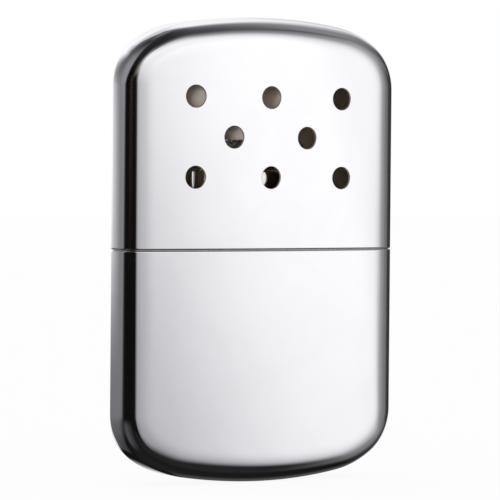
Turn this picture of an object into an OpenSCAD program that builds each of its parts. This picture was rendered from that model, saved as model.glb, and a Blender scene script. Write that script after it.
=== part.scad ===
// Catalytic hand warmer: a fuel tank packed with cotton, a burner that presses
// onto the tank's neck, and a vented lid that slides down over the tank's collar.
// Millimetres, +Z up, standing on its tank with the vented front face towards -Y.
// The origin is under the middle of the tank, at its lowest point.

/* [Case] */
// Width of the closed case
case_w = 67.5; // [54:0.5:90]
// Thickness of the closed case at the middle of its broad faces
case_d = 14; // [11.6:0.1:18]
// Height of the tank, from its lowest point up to the seam
tank_h = 49.5; // [38:0.5:80]
// Height of the lid, from its lower rim to its highest point
lid_h = 49.4; // [41:0.1:80]
// Thickness of the drawn sheet of lid and tank
wall = 0.5; // [0.35:0.05:0.8]
// Radius of the long curve across each broad face
face_r = 240; // [190:5:600]
// Radius where a broad face rolls over into the narrow side
edge_r = 3.4; // [2:0.1:4.1]
// Radius of the four corners, seen from the front
corner_r = 11.7; // [8:0.1:14.1]
// Angle through which a corner turns before the shoulder takes over
corner_turn = 57; // [45:1:60]
// Radius of the shoulder between a corner and the crown
shoulder_r = 24; // [16:1:29]
// Angle through which the shoulder turns
shoulder_turn = 24; // [15:1:28]
// Radius of the rolled rims at the seam
rim_r = 0.3; // [0.15:0.05:0.35]
// Gap left at the seam when the lid is pushed home
seam_gap = 0.1; // [0.05:0.05:0.4]

/* [Vent holes] */
// Diameter of a vent hole
vent_d = 4.65; // [3:0.05:6]
// Distance between the vent holes of one row
vent_pitch = 18.25; // [12:0.25:22]
// Height of the lowest row above the seam
vent_z = 15.3; // [12:0.1:18.5]
// Distance between rows
vent_row = 8.5; // [6:0.1:10]

/* [Collar and neck] */
// Height of the collar that stands out of the tank
collar_rise = 7.5; // [5:0.5:10]
// Depth of the collar inside the tank
collar_depth = 6; // [4:0.5:12]
// Thickness of the sheet of collar and neck plate
collar_t = 0.4; // [0.3:0.05:0.6]
// Clearance between collar and lid, on each side
lid_fit = 0.12; // [0.05:0.01:0.25]
// Depth of the neck plate's face below the collar's edge
plate_drop = 0.8; // [0.6:0.1:2]
// Length of the neck across the case
neck_l = 29.1; // [22:0.1:36]
// Width of the neck, from front to back
neck_w = 7.1; // [5.5:0.1:8.6]
// Height of the neck above the neck plate
neck_h = 6.4; // [5:0.1:8]
// Radius of the neck's rolled lip and foot
neck_roll = 0.7; // [0.5:0.1:1]

/* [Burner] */
// Clearance between the neck and the burner's sleeve, on each side
burner_fit = 0.1; // [0.05:0.01:0.2]
// Thickness of the burner's sheet
burner_t = 0.4; // [0.3:0.05:0.5]
// Height of the burner's sleeve
sleeve_h = 9.4; // [7.8:0.1:12]
// Height of the cage above the sleeve
cage_rise = 6.4; // [5:0.1:8]
// Length of the cage
cage_l = 24; // [19:0.5:26]
// Width of the cage, from front to back
cage_w = 5.8; // [4.8:0.1:6.4]
// Number of slots over the cage
slot_count = 5; // [3:1:5]
// Width of one slot
slot_w = 2.7; // [1.5:0.1:3.3]
// Thickness of the screen under the catalyst
screen_t = 0.3; // [0.2:0.05:0.4]
// Side of one opening of the screen
mesh_hole = 1; // [0.6:0.1:1.2]

/* [Filling] */
// Gap between the cotton and the metal round it
cotton_gap = 0.3; // [0.2:0.1:1]
// Gap between the felt or the catalyst and the metal round it
felt_gap = 0.1; // [0.05:0.05:0.3]

/* [Hidden] */
$fn = 48;

// ---------- where the pieces meet, as heights above the ground ----------
lid_z = tank_h + seam_gap;
collar_top = tank_h + collar_rise;
plate_top = collar_top - plate_drop;
neck_top = plate_top + neck_h;
// the burner's sleeve stops just short of the neck plate's raised foot
sleeve_z = plate_top + neck_roll + 0.3;
sleeve_top = sleeve_z + sleeve_h;
cage_top = sleeve_top + cage_rise;
flange_z = sleeve_top - burner_t;
foot_z = flange_z - burner_t;
// the sleeve's upper edge leaves a flat flange between itself and the cage
sleeve_round = burner_t + 0.2;
screen_z = foot_z - screen_t;

// ---------- sizes that follow from the fits ----------
sleeve_in_l = neck_l + 2 * burner_fit;
sleeve_in_w = neck_w + 2 * burner_fit;
collar_in = wall + lid_fit + collar_t;

// ---------- the filling: three equal wads of cotton, and the felt on top ----------
cotton_in = wall + collar_t + cotton_gap;
cotton_top = tank_h + 2.6;
cotton_h = (cotton_top - wall - cotton_gap) / 3;

// ---------- outline of the case, seen from the front ----------
// Half of the outline is three tangent arcs: corner, shoulder and crown. The crown's
// radius is what closes the outline over the given width.
turned = corner_turn + shoulder_turn;
crown_r = (case_w / 2 - corner_r * (1 - cos(corner_turn))
           - shoulder_r * (cos(corner_turn) - cos(turned))) / cos(turned);
corner_x = case_w / 2 - corner_r;
shoulder_x = corner_x + (corner_r - shoulder_r) * cos(corner_turn);
outline_drop = corner_r * sin(corner_turn)
             + shoulder_r * (sin(turned) - sin(corner_turn))
             + crown_r * (1 - sin(turned));

// Arc centres as [x, height below the crown, radius] for the outline's normal angle a
function arc_of(a) =
    a <= corner_turn ? [corner_x, outline_drop, corner_r]
    : a <= turned ? [shoulder_x,
                     outline_drop - (corner_r - shoulder_r) * sin(corner_turn), shoulder_r]
    : [0, crown_r, crown_r];

// A point of the outline, moved inwards by inset, for a half of height h.
// The angle runs from 0 at the right side over 90 at the crown to 180 at the left.
function outline(a, h, inset) =
    let (right = min(a, 180 - a), arc = arc_of(right), r = arc[2] - inset)
    [(a > 90 ? -1 : 1) * (arc[0] + r * cos(right)), h - arc[1] + r * sin(right)];

// ---------- rolled edge between face and side ----------
// A ball of edge_r rolls along inside both surfaces; its centre and the two contact
// directions give every point of the edge, for the outer skin and for any inset.
ball_r = face_r - edge_r;
function ball_centre(a, h) =
    let (p = outline(a, h, edge_r))
    [p[0], sqrt(ball_r * ball_r - p[0] * p[0]) - (face_r - case_d / 2), p[1]];
function between(n, m, t) =
    let (w = acos(n * m))
    (sin((1 - t) * w) * n + sin(t * w) * m) / sin(w);

// Steps along the edge of one half, as normal angles of the outline
corner_steps = 8;
shoulder_steps = 4;
crown_steps = 5;
right_angles = [for (i = [0 : corner_steps]) corner_turn * i / corner_steps,
                for (i = [1 : shoulder_steps])
                    corner_turn + shoulder_turn * i / shoulder_steps,
                for (i = [1 : crown_steps]) turned + (90 - turned) * i / crown_steps];
arc_angles = concat(right_angles,
                    [for (i = [len(right_angles) - 2 : -1 : 0]) 180 - right_angles[i]]);
stations = len(arc_angles) + 2;
edge_steps = 5;
across = 2 * edge_steps + 2;

// One station: points from the front face over the side to the back face
function edge_points(a, h, inset, z) =
    let (c = ball_centre(a, h), r = edge_r - inset,
         side = [cos(a), 0, sin(a)],
         front = [c[0] / ball_r, -sqrt(1 - pow(c[0] / ball_r, 2)), 0],
         back = [front[0], -front[1], 0])
    [for (i = [0 : across - 1])
        let (near = i <= edge_steps,
             t = (near ? i : i - edge_steps - 1) / edge_steps,
             p = near ? [c[0], -c[1], c[2]] + r * between(front, side, t)
                      : c + r * between(side, back, t))
        [p[0], p[1], z == undef ? p[2] : z]];

// The skin of one half, as points: every station, then the foot of the front face and
// of the back face, straight below the stations
function skin_points(h, inset, z) =
    let (grid = concat(edge_points(0, h, inset, z),
                       [for (a = arc_angles) each edge_points(a, h, inset)],
                       edge_points(180, h, inset, z)))
    concat(grid,
           [for (u = [2 : stations - 3])
               [grid[u * across][0], grid[u * across][1], z]],
           [for (u = [2 : stations - 3])
               [grid[u * across][0], -grid[u * across][1], z]]);
feet = stations - 4;
skin_count = stations * across + 2 * feet;
function foot(u, front) =
    u <= 1 ? (front ? 0 : across - 1)
    : u >= stations - 2 ? (stations - 1) * across + (front ? 0 : across - 1)
    : stations * across + (front ? 0 : feet) + u - 2;

// The open lower edge of a skin, once round
skin_edge = concat([for (u = [1 : stations - 2]) foot(u, true)],
                   [for (v = [1 : across - 1]) (stations - 1) * across + v],
                   [for (u = [stations - 3 : -1 : 1]) foot(u, false)],
                   [for (v = [across - 2 : -1 : 1]) v]);
edge_len = len(skin_edge);

function quad(a, b, c, d) = [[a, b, c], [a, c, d]];
function flip(faces) = [for (f = faces) [f[2], f[1], f[0]]];
function skin_faces() =
    concat([for (u = [0 : stations - 2], v = [0 : across - 2])
               let (k = u * across + v)
               each quad(k, k + across, k + across + 1, k + 1)],
           [for (u = [1 : stations - 3], front = [true, false])
               let (top = u * across + (front ? 0 : across - 1),
                    q = [top + across, top, foot(u, front), foot(u + 1, front)])
               each (front ? quad(q[0], q[1], q[2], q[3]) : quad(q[3], q[2], q[1], q[0]))]);
function moved(faces, by) = [for (f = faces) [for (k = f) k + by]];

// A ring of the case's plan, at a height and an inset from the outer skin
function plan_ring(inset, z) =
    let (s = skin_points(tank_h, inset, z)) [for (k = skin_edge) s[k]];
function flat(ring) = [for (p = ring) [p[0], p[1]]];

// Rings of n points each, joined into one closed surface. The rings run round the
// section of a wall (closed) or from a first cap to a last cap (not closed).
function band(a, b, n) =
    [for (i = [0 : n - 1]) each quad(a + (i + 1) % n, a + i, b + i, b + (i + 1) % n)];
function back_to_front(list) = [for (i = [len(list) - 1 : -1 : 0]) list[i]];
module loft(rings, closed = false) {
    n = len(rings[0]);
    last = len(rings) - 1;
    faces = [for (k = [0 : last - 1]) each band(k * n, (k + 1) * n, n)];
    ends = closed ? band(last * n, 0, n)
                  : [[for (i = [0 : n - 1]) i], [for (i = [n - 1 : -1 : 0]) last * n + i]];
    polyhedron([for (r = rings) each r], concat(faces, ends));
}

// ---------- one drawn half of the case, open at z = 0 ----------
module case_half(h) {
    outer = skin_points(h, 0, rim_r);
    inner = skin_points(h, wall, 0);
    rim = [for (a = [45, 90])
              let (s = skin_points(h, rim_r * (1 - cos(a)), rim_r * (1 - sin(a))))
              each [for (k = skin_edge) s[k]]];
    rim_at = 2 * skin_count;
    top = [for (i = [0 : edge_len - 1])
              let (j = (i + 1) % edge_len)
              each quad(skin_edge[j], skin_edge[i], rim_at + i, rim_at + j)];
    low = [for (i = [0 : edge_len - 1])
              let (j = (i + 1) % edge_len, at = rim_at + edge_len)
              each quad(at + j, at + i, skin_count + skin_edge[i], skin_count + skin_edge[j])];
    polyhedron(concat(outer, inner, rim),
               concat(skin_faces(), moved(flip(skin_faces()), skin_count),
                      top, band(rim_at, rim_at + edge_len, edge_len), low));
}

// The space inside such a half, above a height z and inset from the outer skin
module case_filling(h, inset, z) {
    polyhedron(skin_points(h, inset, z),
               concat(skin_faces(), [[for (i = [edge_len - 1 : -1 : 0]) skin_edge[i]]]));
}

// ---------- oblong rings for neck and burner ----------
end_steps = 10;
function oblong(l, w, z) =
    [for (i = [0 : 2 * end_steps + 1])
        let (left = i > end_steps,
             a = 180 * (left ? i - 1 : i) / end_steps,
             x = (left ? -1 : 1) * (l - w) / 2)
        [x + w / 2 * sin(a), w / 2 * cos(a), z]];
// A section is a list of [inset, height] pairs, down the outside of a wall and up its
// inside. Each pair gives one ring round an oblong of length l and width w.
function oblong_rings(l, w, section) =
    [for (s = section) oblong(l - 2 * s[0], w - 2 * s[0], s[1])];
module oblong_block(l, w, z0, z1, crown) {
    loft(oblong_rings(l, w, [[crown, z1], [crown * 0.3, z1 - crown * 0.3],
                             [0, z1 - crown], [0, z0]]));
}

// ======================= the pieces =======================

// Lower half of the case: a drawn cup with a rolled rim
module tank_shell() {
    color("silver")
        translate([0, 0, tank_h]) mirror([0, 0, 1]) case_half(tank_h);
}

// Sleeve pressed into the tank's mouth. Above the seam it steps in by the lid's
// clearance, and its upper edge is turned in to lead the lid on.
module tank_collar() {
    step_z = tank_h - 1;
    lead = 0.3;
    low = tank_h - collar_depth;
    outside = [[wall + lid_fit + lead, collar_top], [wall + lid_fit, collar_top - lead],
               [wall + lid_fit, step_z + lead], [wall, step_z], [wall, low]];
    inside = [[wall + collar_t, low], [wall + collar_t, step_z], [collar_in, step_z + lead],
              [collar_in, collar_top - lead], [collar_in + lead / 2, collar_top]];
    color("gainsboro")
        loft([for (s = concat(outside, inside)) plan_ring(s[0], s[1])], closed = true);
}

// Plate that closes the tank inside the collar, drawn up into the oblong neck. The
// neck's foot is a soft round, and its lip is rolled inwards.
module neck_plate() {
    t = collar_t;
    r = neck_roll;
    foot = [for (a = [0 : 30 : 90]) [-r * (1 - sin(a)), plate_top + r * (1 - cos(a))]];
    lip = [for (a = [0 : 30 : 90]) [r * (1 - cos(a)), neck_top - r * (1 - sin(a))]];
    inside = [[r, neck_top - t], [t, neck_top - r],
              for (a = [90 : -30 : 0])
                  [-r + (r + t) * sin(a), plate_top + r - (r + t) * cos(a)]];
    section = concat(foot, lip, inside);
    color("gainsboro") {
        difference() {
            translate([0, 0, plate_top - t]) linear_extrude(t)
                polygon(flat(plan_ring(collar_in, 0)));
            translate([0, 0, plate_top - 2 * t]) linear_extrude(3 * t)
                polygon(flat(oblong(neck_l + 2 * r, neck_w + 2 * r, 0)));
        }
        loft(oblong_rings(neck_l, neck_w, back_to_front(section)), closed = true);
    }
}

// Three wads of cotton that hold the fuel. The lowest follows the rounded bottom.
module cotton_layer(k) {
    z0 = wall + cotton_gap + k * cotton_h;
    color("ivory")
        translate([0, 0, z0 + cotton_gap / 2]) linear_extrude(cotton_h - cotton_gap)
            polygon(flat(plan_ring(cotton_in, 0)));
}
module cotton_lower() {
    color("ivory")
        translate([0, 0, tank_h]) mirror([0, 0, 1])
            case_filling(tank_h, wall + cotton_gap,
                         tank_h - wall - cotton_gap - cotton_h + cotton_gap / 2);
}
module cotton_middle() { cotton_layer(1); }
module cotton_upper() { cotton_layer(2); }

// Felt that fills the neck, crowned where the burner takes its vapour
module felt_wick() {
    color("linen")
        oblong_block(neck_l - 2 * (collar_t + felt_gap), neck_w - 2 * (collar_t + felt_gap),
                     cotton_top + cotton_gap, neck_top - neck_roll, 0.6);
}

// Drawn sleeve that slides down over the neck: a flared foot, straight walls, and a
// top turned in to a flange round the cage
module burner_sleeve() {
    t = burner_t;
    r = sleeve_round;
    flare = 0.45;
    knee = sleeve_z + 2 * t + flare;
    outside = [for (a = [90 : -30 : 0]) [-t + r * (1 - cos(a)), sleeve_top - r * (1 - sin(a))],
               [-t, knee], [-flare - t, sleeve_z + t], [-flare - t, sleeve_z]];
    inside = [[-flare, sleeve_z], [-flare, sleeve_z + t], [0, knee],
              [0, sleeve_top - r], [r - t, flange_z]];
    mouth_l = cage_l + 2 * felt_gap;
    mouth_w = cage_w + 2 * felt_gap;
    color("silver")
        loft(concat(oblong_rings(sleeve_in_l, sleeve_in_w, concat(outside, inside)),
                    [oblong(mouth_l, mouth_w, flange_z), oblong(mouth_l, mouth_w, sleeve_top)]),
             closed = true);
}

// Closed cage over the catalyst. Its foot is turned out under the sleeve's flange, and
// slots run up one face, over the top and down the other, which leaves arched bars.
module burner_cage() {
    t = burner_t;
    r = 1.5;
    foot_in = sleeve_round - t + felt_gap;
    foot_l = sleeve_in_l - 2 * foot_in;
    foot_w = sleeve_in_w - 2 * foot_in;
    pitch = (cage_l - cage_w / 2) / slot_count;
    slot_z = sleeve_top + 0.9;
    outside = [for (a = [90 : -22.5 : 0]) [r * (1 - cos(a)), cage_top - r * (1 - sin(a))],
               [0, flange_z]];
    inside = [[t, foot_z],
              for (a = [0 : 22.5 : 90])
                  [t + (r - t) * (1 - cos(a)), cage_top - t - (r - t) * (1 - sin(a))]];
    color("silver")
        difference() {
            loft(concat(oblong_rings(cage_l, cage_w, outside),
                        [oblong(foot_l, foot_w, flange_z), oblong(foot_l, foot_w, foot_z)],
                        oblong_rings(cage_l, cage_w, inside)));
            for (i = [0 : slot_count - 1])
                translate([(i - (slot_count - 1) / 2) * pitch, 0, slot_z + slot_w / 2]) {
                    translate([-slot_w / 2, -cage_w, 0])
                        cube([slot_w, 2 * cage_w, cage_rise]);
                    rotate([90, 0, 0])
                        cylinder(h = 2 * cage_w, d = slot_w, center = true);
                }
        }
}

// Wire screen that carries the catalyst, welded under the cage's foot
module burner_screen() {
    l = sleeve_in_l - 2 * felt_gap;
    w = sleeve_in_w - 2 * felt_gap;
    pitch = mesh_hole * 1.5;
    nx = floor((l - w / 2) / pitch / 2);
    ny = floor((w / 2 - pitch) / pitch);
    color("darkgray")
        translate([0, 0, screen_z]) linear_extrude(screen_t)
            difference() {
                polygon(flat(oblong(l, w, 0)));
                for (i = [-nx : nx], j = [-ny : ny])
                    translate([i * pitch, j * pitch]) square(mesh_hole, center = true);
            }
}

// Pad of platinum-coated glass fibre that fills the cage
module catalyst_mat() {
    gap = burner_t + felt_gap;
    color("lightslategray")
        oblong_block(cage_l - 2 * gap, cage_w - 2 * gap, foot_z, cage_top - gap, 1.2);
}

// Upper half of the case, with the vent holes through both faces: rows of three, two
// and three, the middle row set half a pitch across
module lid_shell() {
    color("silver")
        translate([0, 0, lid_z])
            difference() {
                case_half(lid_h);
                for (row = [0 : 2], i = [0 : row == 1 ? 1 : 2])
                    translate([(i - (row == 1 ? 0.5 : 1)) * vent_pitch, 0,
                               vent_z + row * vent_row])
                        rotate([90, 0, 0])
                            cylinder(h = 2 * case_d, d = vent_d, center = true);
            }
}

tank_shell();
tank_collar();
neck_plate();
cotton_lower();
cotton_middle();
cotton_upper();
felt_wick();
burner_sleeve();
burner_screen();
catalyst_mat();
burner_cage();
lid_shell();
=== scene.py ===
# Catalytic hand warmer: a chromed pocket case in two drawn halves, with a burner and a
# cotton-filled tank inside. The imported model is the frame, in metres, +Z up, and the
# vented front face looks along -Y.
import math

import bmesh
import bpy
from mathutils import Matrix, Vector, noise


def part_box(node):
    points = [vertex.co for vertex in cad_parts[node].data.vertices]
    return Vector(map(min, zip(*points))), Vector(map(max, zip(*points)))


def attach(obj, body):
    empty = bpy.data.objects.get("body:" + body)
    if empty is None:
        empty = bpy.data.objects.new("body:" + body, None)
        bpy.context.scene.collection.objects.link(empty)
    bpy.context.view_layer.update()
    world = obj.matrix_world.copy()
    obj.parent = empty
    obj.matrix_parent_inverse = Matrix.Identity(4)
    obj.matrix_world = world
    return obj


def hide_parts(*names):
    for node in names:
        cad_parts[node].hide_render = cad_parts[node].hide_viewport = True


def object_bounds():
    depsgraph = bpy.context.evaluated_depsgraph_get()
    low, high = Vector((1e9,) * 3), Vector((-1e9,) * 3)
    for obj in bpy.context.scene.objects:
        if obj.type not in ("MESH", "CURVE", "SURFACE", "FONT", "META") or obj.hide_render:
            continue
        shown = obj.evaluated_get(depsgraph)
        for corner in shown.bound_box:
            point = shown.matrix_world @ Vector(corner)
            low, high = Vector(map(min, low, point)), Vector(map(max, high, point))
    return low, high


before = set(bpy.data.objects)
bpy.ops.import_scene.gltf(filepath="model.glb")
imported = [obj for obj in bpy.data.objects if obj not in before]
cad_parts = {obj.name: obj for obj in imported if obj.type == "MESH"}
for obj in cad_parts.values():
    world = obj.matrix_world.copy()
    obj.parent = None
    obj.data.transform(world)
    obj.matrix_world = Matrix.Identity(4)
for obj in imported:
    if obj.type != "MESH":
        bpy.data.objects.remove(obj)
cad_box = [list(corner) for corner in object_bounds()]


# ---------------------------------------------------------------------------
# The camera stands low, left of the front, with a long lens, so the case shows its front
# face and a narrow strip of its left side. It leans by half a degree.
case_low, case_high = (Vector(corner) for corner in cad_box)
case_height = case_high.z - case_low.z
view_turn, view_lift, view_lean = (math.radians(a) for a in (-31.67, 1.53, 0.46))
view_distance = 0.6988
lens_mm = 234.6
aim_right, aim_up = -0.00071, -0.00016

back = Vector((math.sin(view_turn) * math.cos(view_lift),
               -math.cos(view_turn) * math.cos(view_lift), math.sin(view_lift)))
level_right = Vector((math.cos(view_turn), math.sin(view_turn), 0))
level_up = back.cross(level_right)
right = level_right * math.cos(view_lean) + level_up * math.sin(view_lean)
up = back.cross(right)
aim = Vector((0, 0, case_height / 2)) + right * aim_right + up * aim_up

camera = bpy.data.objects.new("camera", bpy.data.cameras.new("camera"))
camera.data.lens = lens_mm
camera.data.sensor_width = 36
camera.data.clip_start, camera.data.clip_end = 0.01, 50
camera.matrix_world = Matrix.Translation(aim + back * view_distance) @ Matrix(
    (right, up, back)).transposed().to_4x4()
bpy.context.collection.objects.link(camera)
bpy.context.scene.camera = camera


# ---------------------------------------------------------------------------
# The studio: a white floor and backdrop, and round the case soft panels of white and grey
# card with dark gaps between them, which are what draws the bands in polished chrome.
def linear(hex_colour):
    """A #rrggbb colour as linear RGBA."""
    parts = [int(hex_colour[i:i + 2], 16) / 255 for i in (1, 3, 5)]
    return [p / 12.92 if p <= 0.04045 else ((p + 0.055) / 1.055) ** 2.4 for p in parts] + [1]


def add(tree, kind, inputs=None, stops=(), **settings):
    """Adds a node with its settings. inputs are values or links by socket name or number,
    and stops are the (place, #rrggbb) stops of a colour ramp."""
    made = tree.nodes.new(kind)
    for name, value in settings.items():
        setattr(made, name, value)
    for key, value in (inputs or {}).items():
        if isinstance(value, bpy.types.NodeSocket):
            tree.links.new(value, made.inputs[key])
        else:
            made.inputs[key].default_value = value
    for _ in stops[2:]:
        made.color_ramp.elements.new(0.5)
    for element, (place, colour) in zip(made.color_ramp.elements if stops else (), stops):
        element.position = place
        element.color = linear(colour)
    return made


def fresh_nodes(holder):
    """Clears a material or world and returns its node tree."""
    holder.use_nodes = True
    holder.node_tree.nodes.clear()
    return holder.node_tree


# Each card is its colour at its left and at its right edge; those edges as bearings, 0 in
# front and positive to the right; its foot and head as angles above the horizon; how soft
# each of the four edges is; and how far it leans, as lift for each degree of bearing and
# bearing for each degree of lift. All are in degrees, and a later card hides an earlier one.
cards = [
    # two dim ones, low on the left and low in front
    (("#545458", "#141415"), (-100, -35), (-52, -14), (30, 20, 24, 14), 0, 0),
    (("#1e1d1e", "#262628"), (-30, 45), (-48, -18), (26, 26, 24, 6), 0, 0),
    # the left: a grey panel that fades, a lighter one over it and a white one at the back
    (("#6a6a6d", "#222224"), (-180, -95), (-27, 78), (5, 20, 25, 16), 0, 0),
    (("#808084", "#8c8c90"), (-165, -105), (-5, 55), (50, 20, 25, 50), 0, 1),
    (("#f8f8fa", "#f8f8fa"), (-200, -153), (-2, 30), (1, 15, 5, 5), 0, -0.5),
    # behind on the right: a white panel, a long grey sheet overhead and more white above
    (("#f0f0f2", "#f8f8fa"), (140, 200), (-8, 70), (10, 1, 5, 20), 0, 0),
    (("#5c5c60", "#b0b0b4"), (25, 125), (25, 80), (60, 5, 10, 14), 0, 0),
    (("#f2f2f4", "#f2f2f4"), (110, 200), (30, 80), (60, 25, 60, 14), 0, -0.5),
    # the right: grey that falls to black, a dull patch on it, and grey to white at the back
    (("#88888a", "#040405"), (50, 105), (-30, 40), (30, 30, 25, 60), 0, 0),
    (("#383836", "#383836"), (65, 95), (-10, 8), (20, 10, 5, 5), 0, -0.5),
    (("#505052", "#505052"), (110, 150), (-60, -10), (45, 10, 60, 10), 0, 0),
    (("#d8d8db", "#f2f2f4"), (120, 165), (-18, 30), (15, 10, 20, 25), 0, 0),
    # two small warm ones left of the front
    (("#948f8b", "#948f8b"), (-36, -16), (11, 25), (50, 2, 6, 20), 0, 0.6),
    (("#2b2420", "#2b2420"), (-65, -45), (0, 14), (15, 20, 5, 6), 0, 0.5),
    # the sheets in front and to its right, grey below and white above, which the face mirrors
    (("#98989c", "#a6a7ab"), (-5, 40), (-16, 2), (15, 2, 12, 2), 0.1, -0.5),
    (("#808086", "#c8c8cc"), (-13, 54), (-4, 22), (4, 15, 15, 30), -0.2, 0.2),
    (("#f8f8fa", "#f8f8fa"), (20, 44), (-5, 6), (25, 6, 20, 4), 0, -1.5),
    (("#ffffff", "#ffffff"), (-16, 50), (6, 18), (32, 10, 28, 12), -0.25, 0.4),
    # straight behind, in two halves that meet where the bearing goes from 180 to -180
    (("#c8c8cc", "#c8c8cc"), (-200, -171), (31, 76), (1, 14, 8, 16), 0, 0),
    (("#c8c8cc", "#c8c8cc"), (163, 200), (31, 76), (28, 1, 8, 16), 0, 0),
    (("#f8f8fa", "#f8f8fa"), (-200, -174), (-24, 30), (1, 6, 5, 6), 0, 0),
    (("#f8f8fa", "#f8f8fa"), (172, 200), (-24, 30), (6, 1, 5, 6), 0, 0),
]
# the strengths of the even light on matt things, of the cards and of the white in view
even_light, card_light, background_white = 0.9, 1.15, 1.0

world = bpy.data.worlds.new("studio")
bpy.context.scene.world = world
tree = fresh_nodes(world)
toward = add(tree, "ShaderNodeSeparateXYZ",
             {0: add(tree, "ShaderNodeTexCoord").outputs["Generated"]}).outputs
ahead = add(tree, "ShaderNodeMath", {0: toward["Y"], 1: -1.0}, operation="MULTIPLY").outputs[0]
bearing = add(tree, "ShaderNodeMath", {0: toward["X"], 1: ahead}, operation="ARCTAN2").outputs[0]
bearing = add(tree, "ShaderNodeMath", {0: bearing}, operation="DEGREES").outputs[0]
lift = add(tree, "ShaderNodeMath", {0: toward["Z"]}, operation="ARCSINE").outputs[0]
lift = add(tree, "ShaderNodeMath", {0: lift}, operation="DEGREES").outputs[0]
panels = add(tree, "ShaderNodeValToRGB", {
    0: add(tree, "ShaderNodeMapRange", {0: lift, 1: -90.0, 2: 90.0}).outputs[0]}, stops=[
        (0.0, "#202020"), (0.3, "#141210"), (0.45, "#100e0d"), (0.6, "#050404"),
        (0.72, "#202022"), (0.82, "#242427"), (0.92, "#323234"), (1.0, "#7c7c80")]).outputs[0]
for tones, sides, ends, softness, lean, slant in cards:
    card_share = None
    level = add(tree, "ShaderNodeMath", {0: bearing, 1: -lean, 2: lift},
                operation="MULTIPLY_ADD").outputs[0]
    across = add(tree, "ShaderNodeMath", {0: lift, 1: -slant, 2: bearing},
                 operation="MULTIPLY_ADD").outputs[0]
    for place, edge, soft in ((across, sides[0], softness[0]), (across, sides[1], -softness[1]),
                              (level, ends[0], softness[2]), (level, ends[1], -softness[3])):
        inside = add(tree, "ShaderNodeMapRange", {0: place, 1: edge - soft / 2, 2: edge + soft / 2},
                     interpolation_type="SMOOTHSTEP").outputs[0]
        card_share = inside if card_share is None else add(
            tree, "ShaderNodeMath", {0: card_share, 1: inside}, operation="MULTIPLY").outputs[0]
    over = add(tree, "ShaderNodeMapRange", {0: across, 1: sides[0], 2: sides[1]}).outputs[0]
    tone = add(tree, "ShaderNodeMix", {0: over, 6: linear(tones[0]), 7: linear(tones[1])},
               data_type="RGBA").outputs[2]
    panels = add(tree, "ShaderNodeMix", {0: card_share, 6: panels, 7: tone},
                 data_type="RGBA").outputs[2]
path = add(tree, "ShaderNodeLightPath").outputs
glossy = add(tree, "ShaderNodeMath", {0: path["Is Glossy Ray"], 1: path["Is Transmission Ray"]},
             operation="MAXIMUM").outputs[0]
plain = add(tree, "ShaderNodeBackground", {
    "Color": linear("#ffffff"), "Strength": even_light}).outputs[0]
studio = add(tree, "ShaderNodeBackground", {"Color": panels, "Strength": card_light}).outputs[0]
white = add(tree, "ShaderNodeBackground", {
    "Color": linear("#ffffff"), "Strength": background_white}).outputs[0]
lit = add(tree, "ShaderNodeMixShader", {0: glossy, 1: plain, 2: studio}).outputs[0]
shown = add(tree, "ShaderNodeMixShader", {0: path["Is Camera Ray"], 1: lit, 2: white}).outputs[0]
add(tree, "ShaderNodeOutputWorld", {"Surface": shown})

# the paper glows white to the camera, apart from the little that shows the object's shadow
floor_half = 3.0
paper_glow = 0.93
bm = bmesh.new()
bmesh.ops.create_grid(bm, x_segments=1, y_segments=1, size=floor_half)
floor = bpy.data.objects.new("floor", bpy.data.meshes.new("floor"))
bm.to_mesh(floor.data)
bm.free()
bpy.context.collection.objects.link(floor)
paper = bpy.data.materials.new("white_background_paper")
tree = fresh_nodes(paper)
path = add(tree, "ShaderNodeLightPath").outputs
matt = add(tree, "ShaderNodeBsdfDiffuse", {"Color": linear("#f4f4f4")}).outputs[0]
glow = add(tree, "ShaderNodeEmission", {
    "Color": linear("#ffffff"), "Strength": background_white}).outputs[0]
share = add(tree, "ShaderNodeMath", {0: path["Is Camera Ray"], 1: paper_glow},
            operation="MULTIPLY").outputs[0]
add(tree, "ShaderNodeOutputMaterial",
    {"Surface": add(tree, "ShaderNodeMixShader", {0: share, 1: matt, 2: glow}).outputs[0]})
floor.data.materials.append(paper)
floor.visible_glossy = False
bpy.context.scene.view_settings.view_transform = "Standard"


# ---------------------------------------------------------------------------
# The tank: the lower half of the case, drawn from 0.5 mm brass sheet, chromed and buffed to
# a mirror. Each broad face is a shallow curve that rolls over into a narrow flat side. Tank
# and lid are cut from one closed form, so they meet flush at the seam.
def mm(size):
    """A size in millimetres, as metres."""
    return size * 0.001


# points closer than this, in metres, are one, and edges that turn by more than this are sharp
same_place, sharp = 1e-7, math.radians(60)

sheet = mm(0.5)
edge_round = mm(3.4)
face_radius = mm(240)
half_width = (case_high.x - case_low.x) / 2
half_depth = (case_high.y - case_low.y) / 2
ball_reach = face_radius - edge_round
narrowest_strip = mm(0.5)
waist = case_height / 2
corner_radius, corner_turn = mm(11.7), math.radians(57)
shoulder_radius, shoulder_end = mm(24), math.radians(57 + 24)
crown_radius = (half_width - corner_radius * (1 - math.cos(corner_turn))
                - shoulder_radius * (math.cos(corner_turn) - math.cos(shoulder_end))
                ) / math.cos(shoulder_end)
shoulder_above = waist - crown_radius + (crown_radius - shoulder_radius) * math.sin(shoulder_end)
corner_above = shoulder_above + (shoulder_radius - corner_radius) * math.sin(corner_turn)
# the arcs of one corner, outwards from the side to the crown: centre across and above the
# waist, the bearing of the normal where the arc ends, and the steps along it
arcs = [(half_width - corner_radius, corner_above, corner_turn, 22),
        (half_width - corner_radius - (shoulder_radius - corner_radius) * math.cos(corner_turn),
         shoulder_above, shoulder_end, 14),
        (0, waist - crown_radius, math.pi / 2, 24)]


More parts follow.
